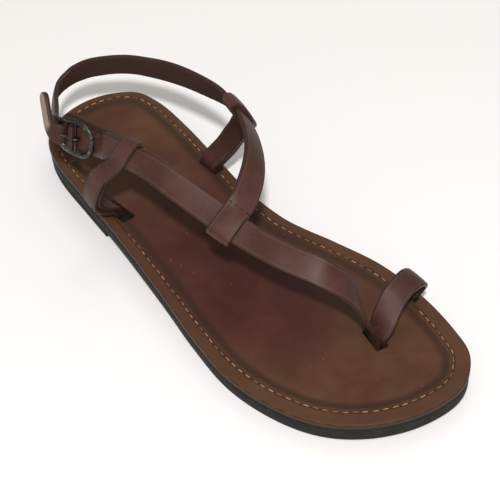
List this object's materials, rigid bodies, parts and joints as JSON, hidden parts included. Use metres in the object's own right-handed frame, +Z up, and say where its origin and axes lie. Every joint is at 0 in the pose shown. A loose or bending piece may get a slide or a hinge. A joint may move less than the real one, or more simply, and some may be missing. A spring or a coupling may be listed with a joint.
{
  "type": "leather thong sandal",
  "caption": "Flat right-foot leather sandal: rubber sole with heel lift, slotted leather footbed, and a strap upper with toe loop, side tabs and an ankle strap that closes with an oval buckle.",
  "frame": {"origin": "on the floor, under the middle of the heel, on the heel lift's flat underside", "axes": "+X from heel to toe, +Y to the wearer's left, which is the inner side of this right shoe, +Z up"},
  "size_m": [0.26, 0.0967, 0.0773],
  "materials": {
    "black_rubber": "matt, fine mould texture",
    "footbed_leather": "waxed brown leather with amber patches",
    "strap_leather": "smooth dark brown leather, soft gloss",
    "dark_metal": "dark antique plated metal with bright worn rims"
  },
  "bodies": {
    "root": {"outsole": "black_rubber", "heel_lift": "black_rubber", "footbed": "footbed_leather", "upper": "strap_leather", "buckle_frame": "dark_metal", "buckle_prong": "dark_metal"}
  },
  "joints": []
}
